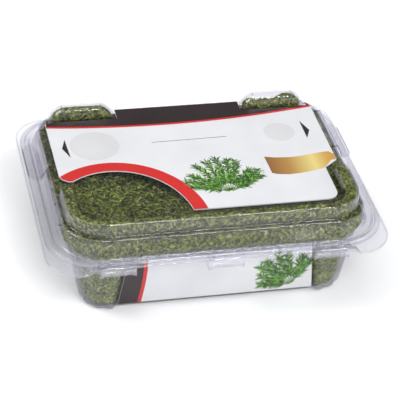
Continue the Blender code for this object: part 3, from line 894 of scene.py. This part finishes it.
def is_front(middle, normal):
    """1 on the front half of the fill's sides, and 0 elsewhere."""
    return (middle[:, 1] < 0) * (1 - is_top(middle, normal)) * (normal[:, 2] > -0.7)


def is_behind(middle, normal):
    """The rest of the sides, and the base, where fewer bits are enough."""
    side = (middle[:, 1] >= 0) * (1 - is_top(middle, normal)) * (normal[:, 2] > -0.7)
    return side + 0.4 * (normal[:, 2] <= -0.7)


for name, region, seed in (("dill_at_front", is_front, 21), ("dill_at_back", is_behind, 24)):
    places = lay_on(fill_mesh, 29000, 0.18, seed, region)
    copy_bits(name, "tub", PRESSED_BITS, places, leaf_finishes, seed + 10, lift=0.15)
LOOSE_BITS = (
    (0.34, curl, (1.6, 4.6), *CURL_GIRTH, DARK),
    (0.28, curl, (1.5, 4.2), *CURL_GIRTH, OLIVE),
    (0.24, curl, (1.2, 3.8), *CURL_GIRTH, GREEN),
    (0.10, flake, (0.5, 1.3), (0.25, 0.55), (0.12, 0.24), OLIVE),
    (0.025, flake, (1.0, 3.0), (0.20, 0.40), (0.20, 0.32), STEM),
    (0.015, thread, (1.0, 2.2), (0.25, 0.50), (0.15, 0.30), BROWN),
)
copy_bits(
    "dill_at_top", "tub", LOOSE_BITS, lay_on(fill_mesh, 18500, 0.24, 22, is_top),
    leaf_finishes, 32, lift=0.35,
)

# %% [markdown]
# Under the label's window the herb lies loose, so longer threads stand out of it there. One
# more stem is caught between the two flanges at the front right corner.

# %% Longer threads in the window, and a caught stem
def in_window(middle, normal):
    """1 where the herb has sunk well below the lid, and 0 elsewhere."""
    return is_top(middle, normal) * (window_share(middle[:, 0] / MM, middle[:, 1] / MM) < LOOSE_SHARE)


WINDOW_BITS = (
    (0.26, curl, (2.6, 5.6), (0.34, 0.56), (0.18, 0.26), GREEN),
    (0.26, curl, (2.4, 5.2), (0.34, 0.56), (0.18, 0.26), OLIVE),
    (0.38, curl, (2.4, 5.6), (0.40, 0.70), (0.18, 0.26), DARK),
    (0.10, thread, (1.8, 4.2), (0.36, 0.56), (0.20, 0.30), STEM),
)
copy_bits(
    "dill_in_window", "tub", WINDOW_BITS, lay_on(fill_mesh, 1500, 0.30, 25, in_window),
    leaf_finishes, 35, lift=0.6,
)
STEM_ENDS = np.array(((41.0, -33.5, rim_top + 0.22), (45.9, -29.8, rim_top + 0.22)))
stem_length = float(np.linalg.norm(STEM_ENDS[1] - STEM_ENDS[0]))
stem_along = (STEM_ENDS[1:] - STEM_ENDS[:1]) / stem_length
stem_up = np.array(((0.0, 0.0, 1.0),))
stem_place = (STEM_ENDS.mean(axis=0)[None] * MM, stem_along, np.cross(stem_up, stem_along), stem_up)
CAUGHT_STEM = ((1.0, flake, (stem_length, stem_length), (0.3, 0.3), (0.22, 0.22), STEM),)
copy_bits("dill_stem_caught", "tub", CAUGHT_STEM, stem_place, leaf_finishes, 36, lift=0.0)

# %% [markdown]
# ### Herb caught in the lid
#
# The hollow rim and the lugs are stuffed too, apart from a hollow in the right lug, where the
# white background shows through. That herb stays in the lid when it opens, so it is a
# separate lump that rides with the lid, with its own skin of bits.

# %% Fill the rim and the lugs
caught_shape = bmesh.new()
INSIDE = SHEET + 0.28
LUG_HOLLOW = 2.2
HOLLOW_HALF = 5.5
CAUGHT_VOXEL = 0.5
rim_fill = rim_strip(caught_shape, RIM_HALF - INSIDE, PANEL - 0.05, RIM_LEG_END)
raise_region(caught_shape, rim_fill, ((0.12, 0.2), (0.3, RIM_RISE - 1.65), (0.15, 0.45), (0.3, 0.2)))
for way in (-1, 1):
    stack_outlines(lug_rings(way, INSIDE), caught_shape)
bmesh.ops.edgeloop_fill(caught_shape, edges=open_edges(caught_shape))
bmesh.ops.recalc_face_normals(caught_shape, faces=caught_shape.faces)
# This lump's dark finish is painted shade too, showing between its bits.
caught = add_piece(caught_shape, "dill_in_lid", [leaf_finishes[0]], "lid", smooth=False)
caught_mesh = roughen(caught, 0.10, CAUGHT_VOXEL)
for vert in caught_mesh.vertices:
    x, y, z = vert.co / MM
    if y > LUG_MIDDLE[1] - LUG_HALF[1] and z > PANEL + 1.2:
        vert.co.z -= LUG_HOLLOW * MM * max(0.0, 1 - ((x - LUG_MIDDLE[0] + 2.0) / HOLLOW_HALF) ** 2)
copy_bits(
    "dill_bits_in_lid", "lid", PRESSED_BITS, lay_on(caught_mesh, 8000, 0.04, 23),
    leaf_finishes, 33, lift=0.10,
)

# %% [markdown]
# ## The labels
#
# The labels are smooth white film with a satin face. Their printed design here is plain and
# generic: a dark band, a red line and a red arch, a gold ribbon, and a spray of leaves. The
# white film is the CAD plate with a better finish. Each printed area is a very thin plate a
# few hundredths of a millimetre above it, so its edges stay crisp at any distance.

# %% Label finishes
INK = 0.03
INK_CLOUD = 14.0


def dress(node, finish):
    """Give a CAD node that stays in the scene its one finish."""
    frame["nodes"][node].data.materials.clear()
    frame["nodes"][node].data.materials.append(finish)


def printed(name, stops, across=None, roughness=0.32, blotch=0.06):
    """Printed satin film. With across=(start, end) in mm, the colours run along X."""
    finish, tree, output = new_finish(name)
    place = add_node(tree, "TexCoord")
    cloud = noise_on(tree, place, INK_CLOUD, 3.0)
    if across:
        parts = add_node(tree, "SeparateXYZ", i0=(place, "Object"))
        run = add_node(
            tree, "MapRange", i0=(parts, 0), i1=across[0] * MM, i2=across[1] * MM,
        )
        base = ramp(tree, (run, 0), stops)
    else:
        base = ramp(tree, (cloud, 0), stops)
    wave = add_node(tree, "Bump", Strength=blotch, Distance=0.001, Height=(cloud, 0))
    ink = add_node(
        tree, "BsdfPrincipled", Base_Color=(base, 0), Roughness=roughness, Normal=(wave, 0),
    )
    tree.links.new(ink.outputs[0], output.inputs[0])
    return finish


white_film = printed("white satin label film", ((0.3, "#d1d2d4"), (0.7, "#d9dadc")))
charcoal_ink = printed("charcoal ink", ((0.3, "#2b2324"), (0.7, "#322829")))
red_ink = printed("red ink", ((0.3, "#c02a28"), (0.7, "#c82f2c")))
grey_ink = printed("pale grey ink", ((0.3, "#c8c8c9"), (0.7, "#cfcfd0")))
black_ink = printed("black ink", ((0.3, "#2a2426"), (0.7, "#332c2e")))
GOLD_ENDS = (20.3, 42.1)
GOLDS = ((0.0, "#875d38"), (0.3, "#ab8349"), (0.65, "#d8c67e"), (0.85, "#c4994f"), (1.0, "#bb8743"))
gold_ink = printed("gold gradient ink", GOLDS, GOLD_ENDS)
GREENS = ("#22421a", "#3c6a24", "#74a043")
leaf_inks = [printed(f"leaf green ink {code[1:]}", ((0.3, code), (0.7, code))) for code in GREENS]
for node in ("label_top", "label_front"):
    dress(node, white_film)
print("label finishes ready")

# %% [markdown]
# ### The lid label's print
#
# Straight-edged areas are one face through a few points. The arch is two circles, stretched
# to ellipses, bridged, and cut with bisecting planes where the label ends.

# %% Print the lid label
TOP_OF_LABEL = label_high.z
STRIPE = 0.85
STRIPE_Y, STRIPE_SLOPE, STRIPE_SAG = 22.2, 0.0254, 0.00197
LUG_ROOM = 0.65
MARGIN = 0.05


def stripe_y(x):
    """The red line across the back of the lid label, which sags a little in the middle."""
    return STRIPE_Y + STRIPE_SLOPE * x + STRIPE_SAG * x * x


def print_area(name, points, finish, body="lid", place=None, layer=1):
    """A thin printed plate through some points, lying on the lid's label or placed by a matrix."""
    shape = bmesh.new()
    face = shape.faces.new([shape.verts.new((x, y, 0.0)) for x, y in points])
    return finish_print(shape, [face], name, finish, body, place, layer)


def finish_print(shape, faces, name, finish, body="lid", place=None, layer=1):
    """Give a flat shape its ink's thickness, and put it on its label."""
    shape.normal_update()
    for face in faces:
        if face.normal.z < 0:
            face.normal_flip()
    grown = bmesh.ops.extrude_face_region(shape, geom=faces)["geom"]
    bmesh.ops.translate(shape, vec=(0, 0, INK), verts=only(grown, bmesh.types.BMVert))
    bmesh.ops.translate(shape, vec=(0, 0, INK * 0.5 * layer), verts=shape.verts)
    bmesh.ops.transform(shape, matrix=place or Matrix.Translation((0, 0, TOP_OF_LABEL)), verts=shape.verts)
    bmesh.ops.recalc_face_normals(shape, faces=shape.faces)
    piece = add_piece(shape, name, [finish], body, smooth=False)
    return piece


half = label_high.x - MARGIN
steps = [-half + 2 * half * index / 24 for index in range(25)]
notch_half = LUG_HALF[0] + LUG_ROOM
notch_in, notch_out = LUG_MIDDLE[0] - notch_half, LUG_MIDDLE[0] + notch_half
notch_y = LUG_MIDDLE[1] - LUG_HALF[1] - LUG_ROOM
back_edge = label_high.y - MARGIN
right_side = [(notch_out, 28.4), (notch_out, notch_y), (notch_in, notch_y), (notch_in, back_edge)]
band = [(x, stripe_y(x)) for x in steps] + [(half - 0.6, 27.6)] + right_side
band += [(-x, y) for x, y in reversed(right_side)] + [(0.6 - half, 27.6)]
print_area("print_back_band", band, charcoal_ink)
stripe = [(x, stripe_y(x) - STRIPE) for x in steps] + [(x, stripe_y(x)) for x in reversed(steps)]
print_area("print_back_stripe", stripe, red_ink, layer=2)

ARCH_MIDDLE = (-27.0, -26.0)
ARCH_INNER = (21.05, 25.25)
ARCH_OUTER = (25.2, 29.4)
arch = bmesh.new()
loops = []
for reach in (ARCH_INNER, ARCH_OUTER):
    circle = bmesh.ops.create_circle(arch, segments=128, radius=1.0)["verts"]
    bmesh.ops.scale(arch, vec=(*reach, 1.0), verts=circle)
    loops += {edge for vert in circle for edge in vert.link_edges}
bmesh.ops.bridge_loops(arch, edges=loops)
bmesh.ops.translate(arch, vec=(*ARCH_MIDDLE, 0.0), verts=arch.verts)
ALL, LEFT_END = half, -36.0
cuts = (
    ((0, label_low.y + MARGIN, 0), (0, -1, 0), ALL), ((-half, 0, 0), (-1, 0, 0), ALL),
    ((-40.85, -3.15, 0), (-0.93, -0.36, 0), LEFT_END), ((-40.85, -3.15, 0), (-0.62, -0.78, 0), LEFT_END),
    ((-39.4, -4.35, 0), (-0.15, -0.99, 0), LEFT_END),
)
for point, away, limit in cuts:
    near = [face for face in arch.faces if face.calc_center_median().x < limit]
    parts = near + [edge for edge in arch.edges if set(edge.link_faces) & set(near)]
    parts += [vert for vert in arch.verts if set(vert.link_faces) & set(near)]
    bmesh.ops.bisect_plane(arch, geom=parts, plane_co=point, plane_no=away, clear_outer=True)
finish_print(arch, arch.faces[:], "print_arch", red_ink)

ribbon = (
    (20.3, 0.6), (20.5, -3.6), (20.6, -7.9), (22.2, -8.7), (25.4, -9.2), (29.0, -9.0), (32.0, -8.5),
    (36.5, -7.4), (37.1, -6.8), (37.15, -6.95), (40.0, -3.5), (41.5, -3.3), (41.5, -0.6), (40.3, 1.0),
    (37.4, 0.7), (34.4, 0.2), (31.0, -0.4), (28.0, -0.6), (23.5, -0.2),
)
print_area("print_ribbon", ribbon, gold_ink)

# %% Print the lid label's small marks
DISCS = {"left": (-28.7, 12.7, 7.4), "right": (28.2, 13.1, 4.8)}
for side, (x, y, radius) in DISCS.items():
    disc = bmesh.new()
    bmesh.ops.create_circle(disc, segments=48, radius=radius, cap_ends=True)
    bmesh.ops.translate(disc, vec=(x, y, 0), verts=disc.verts)
    finish_print(disc, disc.faces[:], f"print_disc_{side}", grey_ink)
ARROWS = {
    "left": ((-37.1, 16.9), (-38.5, 12.4), (-36.7, 7.4)),
    "right": ((35.9, 18.3), (37.7, 13.0), (35.9, 8.8)),
}
for side, corners in ARROWS.items():
    print_area(f"print_arrow_{side}", corners, black_ink)
print_area("print_rule", ((-11.5, 12.25), (11.5, 12.65), (11.5, 12.8), (-11.5, 12.4)), black_ink)

# %% [markdown]
# ### The leaf spray
#
# The label's picture is a generic spray of leaves: a few curved stalks that fan out from one
# point, each with pairs of small pointed leaflets. A leaflet is a circle stretched to a
# point at both ends, and it is copied along the stalks in the same way as the herb bits.

# %% Draw the leaf spray
def leaflet():
    """A flat pointed leaflet, one unit long, from its stalk at the origin."""
    shape = bmesh.new()
    bmesh.ops.create_circle(shape, segments=10, radius=0.5, cap_ends=True)
    for vert in shape.verts:
        vert.co.y *= 1 - (2 * vert.co.x) ** 2 * 0.8
    bmesh.ops.translate(shape, vec=(0.5, 0, 0), verts=shape.verts)
    grown = bmesh.ops.extrude_face_region(shape, geom=shape.faces[:])["geom"]
    bmesh.ops.translate(shape, vec=(0, 0, 1.0), verts=only(grown, bmesh.types.BMVert))
    return unit_mesh(shape)


def leaf_spray(name, body, root, reach, start, fan, stalks, place, seed):
    """Stalks that fan out from a root, with leaflets on both sides, laid on a label."""
    draw = np.random.default_rng(seed)
    spots, along = [], []
    for stalk in range(stalks):
        share = stalk / (stalks - 1)
        heading = math.radians(start + fan * share)
        length = reach * (1.0 - 0.35 * abs(share - 0.5) * 2) * draw.uniform(0.9, 1.08)
        bow = math.radians(draw.uniform(-14, 14))
        point = np.array(root, float)
        for step in range(34):
            heading += bow / 34
            point = point + np.array((math.cos(heading), math.sin(heading))) * length / 34
            spots.append(point)
            along.append(heading)
            if step > 6:
                for way in (-1, 1, -1, 1):
                    spots.append(point + draw.normal(0, 0.12, 2))
                    along.append(heading + way * math.radians(draw.uniform(18, 62)))
    spots, along = np.array(spots), np.array(along)
    flat = np.zeros(len(spots))
    rows = [np.stack(row, axis=1) for row in (
        (spots[:, 0], spots[:, 1], draw.uniform(0.0, 0.02, len(spots))),
        (np.cos(along), np.sin(along), flat), (-np.sin(along), np.cos(along), flat), (flat, flat, flat + 1),
    )]
    turn = np.array(place.to_3x3())
    rows = [row @ turn.T for row in rows]
    rows[0] = (rows[0] + np.array(place.translation)) * MM
    kinds = [
        (share, leaflet(), (0.9, 2.7), (0.22, 0.42), (0.03, 0.05), tone)
        for share, tone in ((0.35, 0), (0.40, 1), (0.25, 2))
    ]
    piece = copy_bits(name, body, kinds, rows, leaf_inks, seed, lift=0.0)
    return piece


lid_label_place = Matrix.Translation((0, 0, TOP_OF_LABEL))
leaf_spray("print_spray_lid", "lid", (6.5, -15.5), 17.5, 28, 130, 11, lid_label_place, 5)

# %% [markdown]
# ### The front label's print
#
# The front label lies in the tub's leaning recess. Its print is drawn flat and then placed
# with one matrix: X stays along the box, and the print's Y runs up the leaning wall.

# %% Print the front label
LEAN = (TUB_TOP_HALF[1] - TUB_BASE_HALF[1]) / tub_high.z
FRONT_OUT = 0.6
along_wall = Vector((1.0, 0.0, 0.0))
up_wall = Vector((0.0, -LEAN, 1.0)).normalized()
out_wall = along_wall.cross(up_wall)
foot = Vector((0.0, RECESS_DEPTH - TUB_BASE_HALF[1] - LEAN * front_low.z - FRONT_OUT, front_low.z))
front_place = Matrix.Translation(foot) @ Matrix((along_wall, up_wall, out_wall)).transposed().to_4x4()
tall = (front_high.z - front_low.z) / up_wall.z


def front_side(height):
    """Half the front label's width at a height up the wall."""
    return front_high.x - 2.1 * height / tall - MARGIN


BAND_EDGE, BAND_BOW, BAND_FOOT = -23.6, 1.5, 0.02
FRONT_STRIPE = 1.1
turns = [math.pi * (0.1 + 0.05 * step) for step in range(11)]
bow = [(BAND_EDGE + BAND_BOW * math.sin(turn), step / 10 * tall) for step, turn in enumerate(turns)]
band = [(-front_side(tall), tall), (-front_side(0.0), BAND_FOOT)] + [(x, max(y, BAND_FOOT)) for x, y in bow]
print_area("print_front_panel", band, charcoal_ink, "tub", place=front_place)
stripe = bow + [(x + FRONT_STRIPE, y) for x, y in reversed(bow)]
print_area("print_front_stripe", stripe, red_ink, "tub", place=front_place, layer=2)
leaf_spray("print_spray_front", "tub", (22.5, 2.0), 14.5, 70, 108, 8, front_place, 9)

# %% [markdown]
# ## The seals
#
# A strip of clear film runs from beside the label over the lid's shoulder and down to the
# flange on each side. The CAD solids have its folds, so they only take the film's finish.

# %% Finish the seals
for node in ("seal_left", "seal_right"):
    dress(node, seal_film)
print("seals finished")
